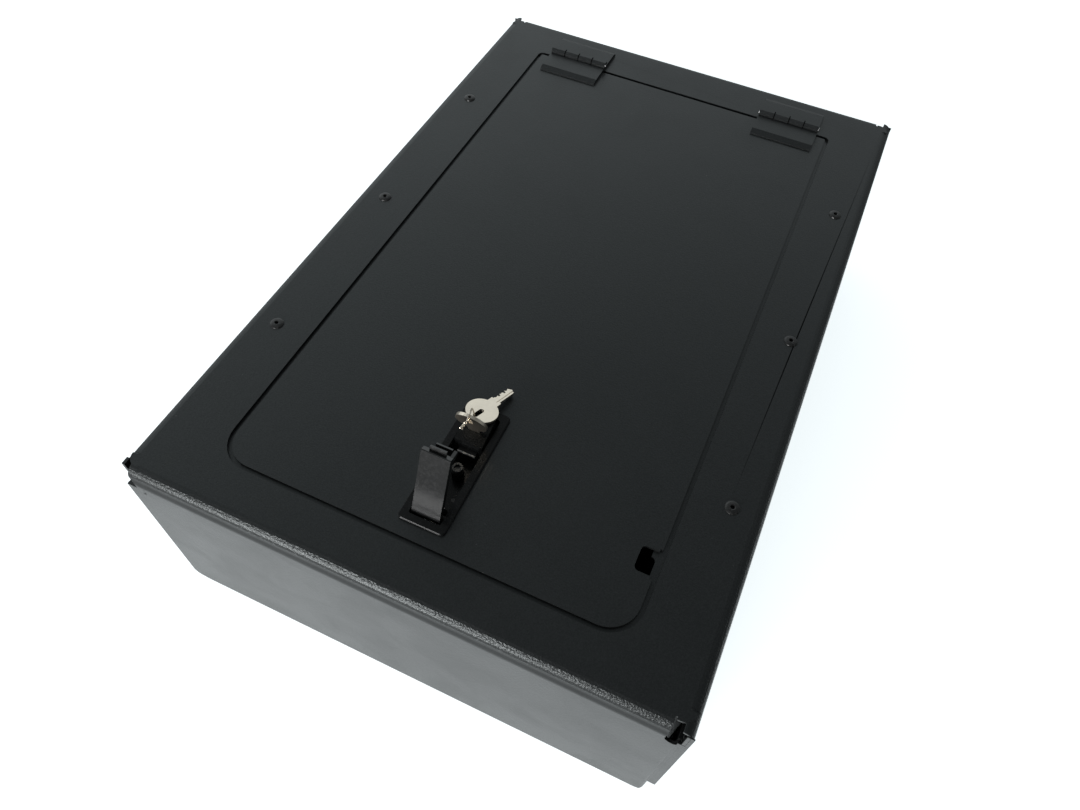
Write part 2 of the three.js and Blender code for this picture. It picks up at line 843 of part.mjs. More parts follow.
// The spring that pops the lever up: its coil round the pivot pin and the leg on the dish floor.
function pivotSpring() {
  const first = crankWidth / 2 + 1;
  const start = leverWidth / 2 - springPocketWall - springWire;
  const pitch = (start - first) / springTurns;
  const steps = 8;
  const points = [];
  const legEnd = floorTop + springWire / 2 + slideGap - pivotZ;
  points.push(new THREE.Vector3(start, -springRadius, legEnd));
  points.push(new THREE.Vector3(start, -springRadius, legEnd / 2));
  for (let i = 0; i <= springTurns * steps; i++) {
    const angle = Math.PI - (i / steps) * 2 * Math.PI;
    points.push(
      new THREE.Vector3(
        start - (i / steps) * pitch,
        springRadius * Math.cos(angle),
        springRadius * Math.sin(angle),
      ),
    );
  }
  return wireTube(points, springWire / 2, 48, 3).translate([0, pivotY, pivotZ]);
}

// A round wire along a smooth open curve, with twice halfSides sides.
function wireTube(points, radius, steps, halfSides) {
  const section = new THREE.Shape();
  section.absarc(0, 0, radius, 0, 2 * Math.PI);
  const extrudePath = new THREE.CatmullRomCurve3(points);
  const settings = { steps, curveSegments: halfSides, extrudePath };
  return solid(new THREE.ExtrudeGeometry(section, settings));
}

// The lever in its folded position about its pivot: Y runs to its free end.
function leverGrip() {
  const half = leverWidth / 2;
  const turn = rad(heelTurn);
  const outline = new THREE.Shape();
  outline.moveTo(faceStart, leverTop);
  outline.lineTo(leverReach - leverEdge, leverTop);
  outline.lineTo(leverReach, leverTop - leverEdge);
  outline.lineTo(leverReach, leverUnder);
  outline.lineTo(heelLength, leverUnder);
  outline.lineTo(heelRadius * Math.cos(turn), -heelRadius * Math.sin(turn));
  outline.absarc(0, 0, heelRadius, -turn, -Math.PI, true);
  outline.absellipse(faceStart, 0, faceStart + heelRadius, leverTop, Math.PI, Math.PI / 2, true);
  const casting = prismX(outline, -half, half, 5);
  const hollow = barX(
    half - leverWall,
    heelLength + 1,
    leverReach - leverWall,
    leverUnder - 1,
    leverTop - leverWall,
  );
  const pinBore = rodX(-half - 1, half + 1, 0, 0, pinRadius + runningGap);
  const body = union(cut(casting, hollow, springPocket()), leverHook(), gripLug(), crankArm());
  const drive = drivePinPlace();
  const driveBore = rodX(-half, half, drive.y, drive.z, drivePinRadius + runningGap);
  return cut(body, pinBore, driveBore);
}

// Room for the coil and its leg, through the turn from raised to folded.
function springPocket() {
  const x0 = crankWidth / 2 + 0.4;
  const x1 = leverWidth / 2 - springPocketWall;
  const radius = springRadius + springWire / 2 + slideGap;
  const low = rodX(x0, x1, 0, 0, radius, 16);
  const sector = box(x0, x1, -heelRadius - 1, radius, -heelRadius - 1, 0);
  const nearSide = box(x0, x1, -heelRadius - 1, 0, -heelRadius - 1, radius);
  return union(low, sector, nearSide);
}

// The hook at the free end: a tab that stands out of the end face, and under the lever a wall
// with a low lip that the lock's tongue slides over.
function leverHook() {
  const half = hookWidth / 2;
  const tabFrom = leverReach - leverEdge;
  const tab = barX(half, tabFrom, leverReach + hookTabReach, leverUnder, leverUnder + hookTabThickness);
  const wall = barX(half, hookInner, hookInner + hookWall, -hookDrop, leverTop - leverWall + 0.5);
  const lip = barX(half, hookInner, hookEnd, -hookDrop, -hookDrop + hookLip);
  return union(tab, wall, lip);
}

// The lug that hangs behind the right corner of the free end.
function gripLug() {
  const half = leverWidth / 2;
  const low = leverUnder - lugDrop;
  const shape = polygon([
    [leverReach - lugLength, leverUnder + 0.5],
    [leverReach - lugLength, leverUnder - lugDrop * 0.35],
    [leverReach - 1, low],
    [leverReach + lugReach * 0.6, low],
    [leverReach + lugReach, low + 1],
    [leverReach, leverUnder + 0.5],
  ]);
  return prismX(shape, half - leverWall, half);
}

function drivePinPlace() {
  return { y: -crankRadius * Math.sin(crankHalfTurn), z: -crankRadius * Math.cos(crankHalfTurn) };
}

// The arm under the heel that carries the drive pin.
function crankArm() {
  const { y, z } = drivePinPlace();
  const along = Math.atan2(z, y);
  const side = along + Math.PI / 2;
  const wide = heelRadius * 0.7;
  const arm = new THREE.Shape();
  arm.moveTo(wide * Math.cos(side), wide * Math.sin(side));
  arm.absarc(y, z, crankTip, side, side - Math.PI, true);
  arm.lineTo(-wide * Math.cos(side), -wide * Math.sin(side));
  return prismX(arm, -crankWidth / 2, crankWidth / 2, 4);
}

function drivePin() {
  const { y, z } = drivePinPlace();
  const half = crankWidth / 2 + earThickness + drivePinProud;
  return rodX(-half, half, y, z, drivePinRadius);
}

// The ears' top, under the lever's heel.
function earTop() {
  return pivotZ - heelRadius - 4 * slideGap;
}

// The bolt: a flat bar with two forked ears that the drive pin pushes.
function slideBolt() {
  const half = boltWidth / 2;
  const bar = prismZ(roundedRect(-half, half, boltTip, boltEnd, 2, 2, 1, 1), boltUnder, boltTop);
  const pinY = pivotY + boltTravel / 2;
  const lowest = pivotZ - crankRadius;
  const inner = crankWidth / 2 + earGap;
  const slotGap = drivePinRadius + slideGap;
  const ears = [-1, 1].map((side) => {
    const x0 = Math.min(side * inner, side * (inner + earThickness));
    const plate = roundedRect(
      pinY - earLength / 2,
      pinY + earLength / 2,
      boltTop - 0.5,
      earTop(),
      0.1,
      0.1,
      0.6,
      0.6,
    );
    const slot = roundedRect(
      pinY - slotGap,
      pinY + slotGap,
      lowest - slotGap,
      earTop() + 1,
      slotGap - 0.1,
      slotGap - 0.1,
      0.1,
      0.1,
    );
    const body = prismX(plate, x0, x0 + earThickness);
    return cut(body, prismX(slot, x0 - 1, x0 + earThickness + 1));
  });
  return union(bar, ...ears);
}

function guideScrewPlaces() {
  const y = guideTabStart + guideTab / 2;
  return [-guideScrewSpacing / 2, guideScrewSpacing / 2].map((x) => [x, y]);
}

// The channel under the dish that the bolt slides in, with a tab for two screws.
function boltGuide() {
  const inner = boltWidth / 2 + slideGap;
  const outer = inner + guideThickness;
  const low = boltUnder - slideGap - guideThickness;
  const nearEnd = dishNear - dishWall;
  const farEnd = boltEnd + guideEndGap;
  const channel = cut(
    barX(outer, nearEnd, farEnd, low, floorUnder),
    barX(inner, nearEnd - 1, farEnd + 1, low + guideThickness, floorUnder + 1),
  );
  const step = barX(outer, farEnd, guideTabStart, low, floorUnder);
  const tab = barX(outer, farEnd, guideTabEnd, floorUnder - guideThickness, floorUnder);
  const holes = guideScrewPlaces().map(([x, y]) =>
    rodZ(floorUnder - guideThickness - 1, floorUnder + 1, x, y, guideScrewRadius + holeClearance),
  );
  return cut(union(channel, step, tab), ...holes);
}

// A pan-head screw that points up from its seat.
function screwUp(x, y, seat, end, shank, head, headHeight) {
  return union(
    turned(
      [
        [0, -headHeight],
        [head * 0.6, -headHeight],
        [head, -headHeight * 0.5],
        [head, 0],
        [0, 0],
      ],
      x,
      y,
      seat,
      12,
    ),
    rodZ(seat - 0.5, end, x, y, shank, 10),
  );
}

function guideScrew([x, y]) {
  return screwUp(x, y, floorUnder - guideThickness, floorTop - 0.2, guideScrewRadius, 2.8, 1.8);
}

// The long screw through the post, with a hexagon socket in its head.
function mountingScrew() {
  const seat = top - postTopDepth;
  const headTop = seat + slideGap + mountScrewHeadHeight;
  const head = rodZ(seat + slideGap, headTop, 0, postY, mountScrewHead, 24);
  const shank = rodZ(bridgeLow() - mountScrewTip, seat + 1, 0, postY, mountScrewShank);
  const socket = rodZ(headTop - mountScrewSocketDepth, headTop + 1, 0, postY, mountScrewSocket, 6);
  return cut(union(head, shank), socket);
}

function bridgeLow() {
  return floorUnder - slideGap - bridgeThickness;
}

// The staple behind the door that the long screw pulls against it.
function mountingBridge() {
  const half = bridgeSpan / 2;
  const y0 = postY - bridgeWidth / 2;
  const y1 = postY + bridgeWidth / 2;
  const low = bridgeLow();
  const under = top - sheet;
  const outline = polygon([
    [-half, low],
    [half, low],
    [half, under],
    [half - bridgeLeg, under],
    [half - bridgeLeg, low + bridgeThickness],
    [-half + bridgeLeg, low + bridgeThickness],
    [-half + bridgeLeg, under],
    [-half, under],
  ]);
  const hole = rodZ(low - 1, low + bridgeThickness + 1, 0, postY, mountScrewShank + holeClearance);
  return cut(prismY(outline, y0, y1), hole);
}

// Lock

// The block with the sloping face, the cylinder's bore and the tongue's channel.
function lockHousing() {
  const half = dishWidth / 2 - housingSideGap;
  const faceFar = housingNear + 2 * lockFaceRun * tiltCos;
  const faceTop = top + housingRise + 2 * lockFaceRun * tiltSin;
  const outline = polygon([
    [housingNear, floorTop],
    [housingFar, floorTop],
    [housingFar, top - dishDepth / 2],
    [faceFar, faceTop],
    [housingNear, top + housingRise],
  ]);
  const bore = rod(lockPoint(-2), lockPoint(eccentricDepth + 2), barrelRadius + holeClearance, 32);
  const inner = tongueWidth / 2 + slideGap;
  const channel = barX(inner, housingNear - 1, tongueFar + slideGap, floorTop - 1, tongueLowTop + slideGap);
  const riserFar = housingNear + tongueRiserInset + tongueThickness;
  const mouthTop = tongueTipUnder + tongueThickness + slideGap;
  const mouth = barX(inner, housingNear - 1, riserFar + slideGap, floorTop - 1, mouthTop);
  const holeTop = floorTop + housingScrewReach + 1;
  const screwHole = rodZ(floorTop - 1, holeTop, 0, housingScrewY, housingScrewRadius + holeClearance);
  return cut(prismX(outline, -half, half), bore, channel, mouth, screwHole);
}

function lockBarrel() {
  return cut(
    rod(lockPoint(0), lockPoint(barrelLength), barrelRadius, 32),
    rod(lockPoint(-1), lockPoint(barrelLength + 1), plugRadius + runningGap, 28),
  );
}

// The plug: keyway, clip groove, and the eccentric pin that drives the tongue.
function lockPlug() {
  const body = rod(lockPoint(0), lockPoint(barrelLength + slideGap), plugRadius, 28);
  const tail = rod(lockPoint(barrelLength), lockPoint(plugLength), plugTailRadius, 24);
  const pin = rod(
    lockPoint(plugLength - 0.6, eccentricOffset, eccentricOffset),
    lockPoint(eccentricDepth, eccentricOffset, eccentricOffset),
    eccentricPin,
  );
  return cut(union(body, tail, pin), keyway(), clipGroove());
}

function keyway() {
  const halfWide = bladeHalf + keyClearance;
  const halfThick = keyThickness / 2 + keyClearance;
  const deep = bladeLength + keywayEndGap;
  const slot = new THREE.BoxGeometry(2 * halfWide, 2 * halfThick, deep + 2);
  slot.translate(0, 0, -deep / 2 + 1);
  return solid(slot.applyMatrix4(lockMatrix()));
}

// The frame of the lock: its Z is the axis out of the face and its Y the far side.
function lockMatrix() {
  return new THREE.Matrix4().makeBasis(X, lockFarSide, lockAxis).setPosition(lockFace);
}

function clipGroove() {
  return cut(
    rod(lockPoint(clipDepth - 0.2), lockPoint(clipDepth + clipThickness + 0.2), plugRadius + 1, 16),
    rod(lockPoint(clipDepth - 1), lockPoint(clipDepth + clipThickness + 1), plugTailRadius - clipBite, 16),
  );
}

// The retaining clip on the plug's tail, open on its far side.
function plugClip() {
  const low = clipDepth + clipThickness;
  const clipRadius = barrelRadius - clipInset;
  const holeRadius = plugTailRadius - clipBite + clipFit;
  const disc = rod(lockPoint(clipDepth), lockPoint(low), clipRadius, 24);
  const middle = rod(lockPoint(clipDepth - 1), lockPoint(low + 1), holeRadius, 16);
  const mouth = new THREE.BoxGeometry(2 * (holeRadius - clipFit), clipRadius + 2, clipThickness + 4);
  mouth.translate(0, (clipRadius + 2) / 2, -clipDepth);
  return cut(disc, middle, solid(mouth.applyMatrix4(lockMatrix())));
}

// The steel tongue: a cranked strip that the plug's eccentric pin slides out of the housing.
function lockTongue() {
  const riser = housingNear + tongueRiserInset;
  const tipTop = tongueTipUnder + tongueThickness;
  const outline = polygon([
    [tongueTip, tongueTipUnder],
    [riser, tongueTipUnder],
    [riser, tongueUnder],
    [tongueFar, tongueUnder],
    [tongueFar, tongueLowTop],
    [riser + tongueThickness, tongueLowTop],
    [riser + tongueThickness, tipTop],
    [tongueTip, tipTop],
  ]);
  const strip = prismX(outline, -tongueWidth / 2, tongueWidth / 2);
  const slot = roundedRect(
    eccentricOffset - tongueSlotHalf,
    eccentric + tongueSlotHalf,
    tonguePin.y - tongueSlotHalf,
    tonguePin.y + tongueSlotHalf,
    eccentricPin,
  );
  return cut(strip, prismZ(slot, tongueUnder - 1, tongueLowTop + 1));
}

function housingScrew() {
  return screwUp(0, housingScrewY, floorUnder, floorTop + housingScrewReach, housingScrewRadius, 2.4, 1.5);
}

// Keys

// A key's outline: X across it, Y from the shoulder up to the bow.
function keyOutline() {
  const shape = new THREE.Shape();
  const meet = Math.asin(neckHalf / bowRadius);
  const cutPitch = (bladeLength - bladeToeFrom) / bitting.length;
  shape.moveTo(-neckHalf, 0);
  shape.lineTo(-bladeHalf, 0);
  bitting.forEach((cutDepth, i) => {
    const start = -1.6 - i * cutPitch;
    const bottom = -bladeHalf + cutDepth;
    shape.lineTo(-bladeHalf + 0.1, start + 0.5);
    shape.lineTo(bottom, start - 0.2);
    shape.lineTo(bottom, start - cutPitch + 1.1);
  });
  shape.lineTo(-bladeHalf + 0.3, -bladeLength + 1.6);
  shape.lineTo(0.4, -bladeLength);
  shape.lineTo(bladeHalf, -bladeLength + 1.4);
  shape.lineTo(bladeHalf, 0);
  shape.lineTo(neckHalf, 0);
  shape.absarc(0, bowToShoulder, bowRadius, -Math.PI / 2 + meet, 1.5 * Math.PI - meet);
  return shape;
}

// A key in its own frame: Z from the shoulder to the bow, X across, Y through its thickness.
function keyBlank() {
  const half = keyThickness / 2;
  const flat = prismY(keyOutline(), -half, half, 16);
  const low = bowToShoulder + keySlotStart;
  const high = bowToShoulder + keySlotEnd;
  const slotHalf = keySlotWidth / 2;
  const slot = prismY(roundedRect(-slotHalf, slotHalf, low, high, slotHalf * 0.98), -half - 1, half + 1);
  const grooves = [-1, 1].map((side) =>
    box(
      bladeHalf - 1.7,
      bladeHalf - 0.9,
      side > 0 ? half - keyGrooveDepth : -half - 1,
      side > 0 ? half + 1 : -half + keyGrooveDepth,
      -bladeLength - 1,
      1.5,
    ),
  );
  return cut(flat, slot, ...grooves);
}

// Where the lock's own key sits, and where the spare key lies behind it.
function insertedKeyMatrix() {
  const seat = lockPoint(-keyClearance);
  return new THREE.Matrix4().makeBasis(X, lockFarSide, lockAxis).setPosition(seat);
}

const spareCentre = new THREE.Vector3(
  spareX,
  lockFace.y + lockFaceRun * tiltCos + spareBehindHousing,
  lockFace.z + lockFaceRun * tiltSin + spareAboveHousing,
);
const spareAlong = new THREE.Vector3(
  Math.sin(rad(spareYaw)) * Math.cos(rad(sparePitch)),
  Math.cos(rad(spareYaw)) * Math.cos(rad(sparePitch)),
  -Math.sin(rad(sparePitch)),
);
const spareAcross = new THREE.Vector3(Math.cos(rad(spareYaw)), -Math.sin(rad(spareYaw)), 0);
const spareUp = new THREE.Vector3().crossVectors(spareAcross, spareAlong);

function spareKeyMatrix() {
  const shoulder = spareCentre.clone().addScaledVector(spareAlong, bowToShoulder);
  const back = spareAlong.clone().negate();
  const across = spareAcross.clone().negate();
  const through = new THREE.Vector3().crossVectors(back, across);
  return new THREE.Matrix4().makeBasis(across, through, back).setPosition(shoulder);
}

// The wire that ties the keys: twisted tail, round the first bow's rim, down through the spare's
// slot, round its rim, back through the first slot and along the tail again.
const rimMiddle = (bowRadius + keySlotEnd) / 2;
const wireLoop = (bowRadius - keySlotEnd) / 2 + wireLoopGap;
const wireTight = (bowRadius - keySlotEnd) / 2 + wireTightGap;
const firstRim = lockPoint(-keyClearance - bowToShoulder - rimMiddle);
const spareRim = spareCentre.clone().addScaledVector(spareAlong, -rimMiddle);

function keyWire() {
  const near = lockFarSide.clone().negate();
  const around = (centre, u, v, degrees, radius = wireLoop) =>
    centre
      .clone()
      .addScaledVector(u, radius * Math.cos(rad(degrees)))
      .addScaledVector(v, radius * Math.sin(rad(degrees)));
  const tailRoot = firstRim.clone().addScaledVector(near, wireLoop + 1.6);
  const tailWay = new THREE.Vector3(-0.18, -1, -0.05).normalize();
  const strand = (phase, count) =>
    Array.from({ length: count }, (_, i) => {
      const share = 1 - i / (count - 1);
      const angle = phase + share * 2.5 * Math.PI;
      return tailRoot
        .clone()
        .addScaledVector(tailWay, share * wireTail)
        .add(new THREE.Vector3(wireTwist * Math.cos(angle), 0, wireTwist * Math.sin(angle)));
    });
  const points = [
    ...strand(Math.PI / 2, 10),
    around(firstRim, near, lockAxis, 50),
    around(firstRim, near, lockAxis, 90),
    around(firstRim, near, lockAxis, 130),
    spareRim.clone().addScaledVector(lockAxis, 9).addScaledVector(lockFarSide, 3.2),
    around(spareRim, spareAlong, spareUp, 35),
    around(spareRim, spareAlong, spareUp, 0),
    around(spareRim, spareAlong, spareUp, -45),
    around(spareRim, spareAlong, spareUp, -90),
    around(spareRim, spareAlong, spareUp, -135),
    around(spareRim, spareAlong, spareUp, 180, wireTight),
    spareRim.clone().addScaledVector(lockAxis, 5).addScaledVector(lockFarSide, -1.4),
    around(firstRim, near, lockAxis, -110).addScaledVector(lockAxis, -2.5),
    around(firstRim, near, lockAxis, -70),
    around(firstRim, near, lockAxis, -35),
    ...strand(-Math.PI / 2, 10).reverse(),
  ];
  return wireTube(points, wireRadius, 104, 3);
}

// Assembly

const locker = new THREE.Group();

locker.add(piece("cabinet_shell", cabinetShell(), powderCoat));
locker.add(piece("back_panel", backPanel(), powderCoat));
locker.add(piece("side_bracket_left", sideBracket(-1), powderCoat));
locker.add(piece("side_bracket_right", sideBracket(1), powderCoat));
locker.add(piece("door_stop_frame", doorStopFrame(), powderCoat));
locker.add(piece("strike_plate", strikePlate(), powderCoat));
rivetRows.forEach((y, i) => {
  locker.add(piece(`rivet_left_${i + 1}`, popRivet(-rivetX, y), rivetBlack));
  locker.add(piece(`rivet_right_${i + 1}`, popRivet(rivetX, y), rivetBlack));
});
hingeCentres.forEach((centre, i) => {
  const side = i === 0 ? "left" : "right";
  locker.add(piece(`hinge_fixed_leaf_${side}`, hingeLeaf(centre, 1), powderCoat));
  locker.add(piece(`hinge_door_leaf_${side}`, hingeLeaf(centre, -1), powderCoat));
  locker.add(piece(`hinge_pin_${side}`, hingePin(centre), zincSteel));
});
studPlaces(1).forEach(([x, y], i) => {
  locker.add(piece(`frame_nut_${i + 1}`, studNut(x, y), zincSteel));
});
studPlaces(-1).forEach(([x, y], i) => {
  locker.add(piece(`door_nut_${i + 1}`, studNut(x, y), zincSteel));
});

locker.add(piece("door_panel", doorPanel(), powderCoat));
locker.add(piece("handle_dish", handleDish(), handleBlack));
locker.add(piece("mounting_screw", mountingScrew(), rivetBlack));
locker.add(piece("mounting_bridge", mountingBridge(), zincSteel));
locker.add(piece("pivot_pin", pivotPin(), rivetBlack));
locker.add(piece("pivot_spring", pivotSpring(), zincSteel));
locker.add(piece("bolt_guide", boltGuide(), zincSteel));
guideScrewPlaces().forEach((place, i) => {
  locker.add(piece(`guide_screw_${i + 1}`, guideScrew(place), rivetBlack));
});
locker.add(piece("slide_bolt", slideBolt(), zincSteel));

const lever = new THREE.Group();
lever.position.set(0, pivotY, pivotZ);
lever.rotation.x = rad(leverRaise);
lever.add(piece("lever_grip", leverGrip(), handleBlack));
lever.add(piece("drive_pin", drivePin(), zincSteel));
locker.add(lever);

locker.add(piece("lock_housing", lockHousing(), handleBlack));
locker.add(piece("housing_screw", housingScrew(), zincSteel));
locker.add(piece("lock_barrel", lockBarrel(), handleBlack));
locker.add(piece("lock_plug", lockPlug(), handleBlack));
locker.add(piece("plug_clip", plugClip(), zincSteel));
locker.add(piece("lock_tongue", lockTongue(), zincSteel));

const insertedKey = piece("key_in_lock", keyBlank(), nickel);
insertedKey.applyMatrix4(insertedKeyMatrix());
locker.add(insertedKey);
const spareKey = piece("spare_key", keyBlank(), nickel);
spareKey.applyMatrix4(spareKeyMatrix());
locker.add(spareKey);
locker.add(piece("key_wire", keyWire(), zincSteel));

export default locker;
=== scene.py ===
"""The looks of a vehicle security locker.

Powder-coated sheet steel, a black lever lock and nickel keys, on a white floor in soft light.
"""
import json
import math

import bmesh
import bpy
from mathutils import Matrix, Quaternion, Vector


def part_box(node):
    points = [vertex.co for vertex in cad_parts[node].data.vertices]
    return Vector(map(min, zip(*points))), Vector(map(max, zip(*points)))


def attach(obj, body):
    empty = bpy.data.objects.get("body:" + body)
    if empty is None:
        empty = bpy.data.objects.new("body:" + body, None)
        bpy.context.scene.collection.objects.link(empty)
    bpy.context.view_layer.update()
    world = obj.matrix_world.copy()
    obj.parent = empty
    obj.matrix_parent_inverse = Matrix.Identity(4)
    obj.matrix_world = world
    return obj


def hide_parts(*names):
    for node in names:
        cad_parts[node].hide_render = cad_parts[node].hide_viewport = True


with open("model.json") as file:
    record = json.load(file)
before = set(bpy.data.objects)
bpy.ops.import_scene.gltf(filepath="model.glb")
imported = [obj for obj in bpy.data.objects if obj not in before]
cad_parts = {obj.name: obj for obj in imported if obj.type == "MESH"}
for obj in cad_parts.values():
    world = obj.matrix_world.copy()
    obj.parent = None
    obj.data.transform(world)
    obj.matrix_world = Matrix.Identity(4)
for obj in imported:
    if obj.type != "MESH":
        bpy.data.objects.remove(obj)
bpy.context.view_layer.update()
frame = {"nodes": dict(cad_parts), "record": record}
nodes = frame["nodes"]
MM = 0.001
RIGHT, LEFT = 1, -1

# The photograph's camera, in metres, degrees and the sensor's millimetres
CAMERA_PLACE = Vector((0.12933, -0.39761, 0.57991))
CAMERA_TARGET = Vector((0.02691, -0.12613, 0.159))
CAMERA_ROLL = 4.4536
CAMERA_CLIP = 0.01
SENSOR_WIDTH = 36.0
LENS = 26.614

# The shell in millimetres: half its width and length, its height, and the tops of the walls
# and of the returns beside the corner reliefs
HALF_WIDTH = 181.3
HALF_LENGTH = 277.5
FACE_TOP = 159.0
SHEET = 2.0
BEND_RADIUS = 7.0
BEND_STEPS = 8
WALL_TOP = 139.2
RETURN_TOP = 156.5

# The side walls' corner pieces in millimetres, along the length from the middle. The near left
# corner is covered by the near wall's own bend, so its pieces are shorter.
BEND_FROM = 263.6
BEND_TO = 276.5
COVERED_BEND_TO = 268.0
COVERED_WALL_TO = 273.0
TIP_INSET = 0.3
RETURN_REACH = 4.0

# The near wall's ends in millimetres: the seam at its right, by its distances from the side,
# and the rounded foot and the end of the bend at its left
SEAM_ACROSS = (5.9, 3.6)
SEAM_INSET = 0.35
SEAM_HEIGHTS = (30.0, 138.5)
FOOT_RADIUS = 7.0
FOOT_HEIGHT = 1.0
EDGE_FROM = 173.9
END_BEND_ACROSS = (174.2, 168.2)
END_BEND_DROP = 5.0

# Rounding of the corner pieces' edges, in millimetres and degrees
CORNER_EDGE = 0.3
CORNER_EDGE_ANGLE = 40.0

# The hinges' knuckles and the rings of painted shade between them, in millimetres
KNUCKLES = 4
PIN_PROUD = 0.5
RING_RADIUS = 3.5
RING_HALF = 0.4
RING_SIDES = 24

# The middle of the spare key's bow, in metres, and the direction of its length
SPARE_MIDDLE = Vector((-0.001, -0.152923, 0.1691))
SPARE_ALONG = Vector((0.26198, 0.93203, -0.25038))

# In metres: how far the near and far bends reach to either side, and the Y below which the
# lock tongue is worn bright
BEND_END = 0.1745
TONGUE_WORN_TO = -0.1762

# Tints of the black finishes and of the light
COOL = (0.96, 1.02, 1.05)
COOL_GLOSS = (0.93, 0.99, 1.0, 1.0)
LIGHT_TINT = (0.93, 1.0, 1.02)


def add_camera():
    """The camera at the photograph's viewing angle."""
    data = bpy.data.cameras.new("camera")
    data.sensor_fit = "HORIZONTAL"
    data.sensor_width = SENSOR_WIDTH
    data.lens = LENS
    data.clip_start = CAMERA_CLIP
    camera = bpy.data.objects.new("camera", data)
    camera.location = CAMERA_PLACE
    camera.rotation_mode = "QUATERNION"
    aim = (CAMERA_TARGET - CAMERA_PLACE).to_track_quat("-Z", "Y")
    camera.rotation_quaternion = aim @ Quaternion((0, 0, 1), math.radians(CAMERA_ROLL))
    bpy.context.scene.collection.objects.link(camera)
    bpy.context.scene.camera = camera


# Node graphs


class Graph:
    """A material's node tree, with short calls to add and join nodes."""

    def __init__(self, tree):
        self.tree = tree
        tree.nodes.clear()

    def put(self, socket, value):
        """Links a socket to another one, or sets its value."""
        if isinstance(value, bpy.types.NodeSocket):
            self.tree.links.new(value, socket)
        else:
            socket.default_value = value

    def add(self, kind, inputs=(), **settings):
        node = self.tree.nodes.new("ShaderNode" + kind)
        for key, value in settings.items():
            setattr(node, key, value)
        for key, value in dict(inputs).items():
            self.put(node.inputs[key], value)
        return node

    def math(self, operation, a, b=0.0):
        return self.add("Math", {0: a, 1: b}, operation=operation).outputs[0]

    def plus(self, base, factor, share):
        """base and a share of a factor."""
        return self.math("ADD", base, self.math("MULTIPLY", factor, share))

    def ramp(self, factor, stops):
        """A grey level by pairs of place and level."""
        node = self.add("ValToRGB", {"Fac": factor})
        elements = node.color_ramp.elements
        while len(elements) < len(stops):
            elements.new(1.0)
        for element, (place, level) in zip(elements, stops):
            element.position = place
            element.color = (level, level, level, 1.0)
        return node.outputs["Color"]

    def rise(self, factor, low, high):
        """0 up to low, and 1 from high on."""
        return self.ramp(factor, ((low, 0.0), (high, 1.0)))

    def fall(self, factor, low, high):
        """1 up to low, and 0 from high on."""
        return self.ramp(factor, ((low, 1.0), (high, 0.0)))

    def noise(self, scale, detail, roughness, vector, distortion=0.0):
        inputs = {"Scale": scale, "Detail": detail, "Roughness": roughness}
        inputs |= {"Distortion": distortion, "Vector": vector}
        return self.add("TexNoise", inputs).outputs["Fac"]

    def mix_colour(self, factor, a, b):
        node = self.add("Mix", data_type="RGBA")
        for socket, value in ((0, factor), (6, a), (7, b)):
            self.put(node.inputs[socket], value)
        return node.outputs[2]

    def place(self):
        """The place on the object, in metres of the row frame."""
        return self.add("TexCoord").outputs["Object"]

    def split(self, vector):
        return self.add("SeparateXYZ", {"Vector": vector}).outputs

    def bump(self, height, strength, distance):
        inputs = {"Height": height, "Strength": strength, "Distance": distance}
        return self.add("Bump", inputs).outputs[0]

    def finish(self, shader):
        out = self.add("OutputMaterial")
        self.tree.links.new(shader.outputs[0], out.inputs["Surface"])


def grey(level, tint=(1.0, 1.0, 1.0)):
    return (level * tint[0], level * tint[1], level * tint[2], 1.0)


def new_material(name):
    material = bpy.data.materials.new(name)
    material.use_nodes = True
    return material, Graph(material.node_tree)


# Materials. Noise scales count features in a metre, and bump distances are in metres.


def powder_coat():
    """Fine-textured black powder coat with faint smudges and a few pale specks of dust."""
    material, g = new_material("powder_coat")
    place = g.place()
    grain = g.noise(1500.0, 3.0, 0.6, place)
    pebble = g.noise(860.0, 1.0, 0.5, place)
    smudge = g.noise(26.0, 3.0, 0.55, place, 0.6)
    blotch = g.noise(6.0, 2.0, 0.5, place)

    cells = {"Vector": place, "Scale": 95.0}
    dust = g.add("TexVoronoi", cells, feature="F1").outputs["Distance"]
    dust_here = g.noise(9.0, 2.0, 0.5, place)
    speck = g.math("MULTIPLY", g.fall(dust, 0.0, 0.045), g.rise(dust_here, 0.56, 0.7))
    black = g.mix_colour(g.rise(grain, 0.35, 0.75), grey(0.005, COOL), grey(0.018, COOL))
    colour = g.mix_colour(g.math("MULTIPLY", speck, 0.6), black, grey(0.28))

    # The texture stands out on the bends more than on flat faces
    upright = g.split(g.add("NewGeometry").outputs["True Normal"])["Z"]
    bend = g.ramp(upright, ((0.0, 0.4), (0.3, 1.0), (0.85, 1.0), (0.995, 0.0)))
    height = g.math("ADD", g.math("MULTIPLY", grain, 0.3), pebble)
    bump = g.bump(height, g.plus(0.25, bend, 0.75), 0.0003)

    # A dull band runs along the near and far walls just under their bends, here by its height
    # in shares of 0.2 m
    across_and_up = g.split(place)
    level = g.math("MULTIPLY", across_and_up["Z"], 5.0)
    under_bend = g.ramp(level, ((0.705, 0.0), (0.728, 1.0), (0.748, 1.0), (0.768, 0.0)))
    inside = g.math("LESS_THAN", g.math("ABSOLUTE", across_and_up["X"]), BEND_END)
    dull = g.math("MULTIPLY", under_bend, g.fall(upright, 0.25, 0.5))
    dull = g.math("MULTIPLY", dull, inside)

    rough = g.plus(0.33, g.rise(smudge, 0.4, 0.68), 0.04)
    rough = g.plus(rough, g.rise(blotch, 0.3, 0.7), 0.04)
    rough = g.plus(rough, dull, 0.45)
    look = {"Base Color": colour, "Roughness": rough, "Normal": bump}
    g.finish(g.add("BsdfPrincipled", look | {"Specular Tint": COOL_GLOSS}))
    return material


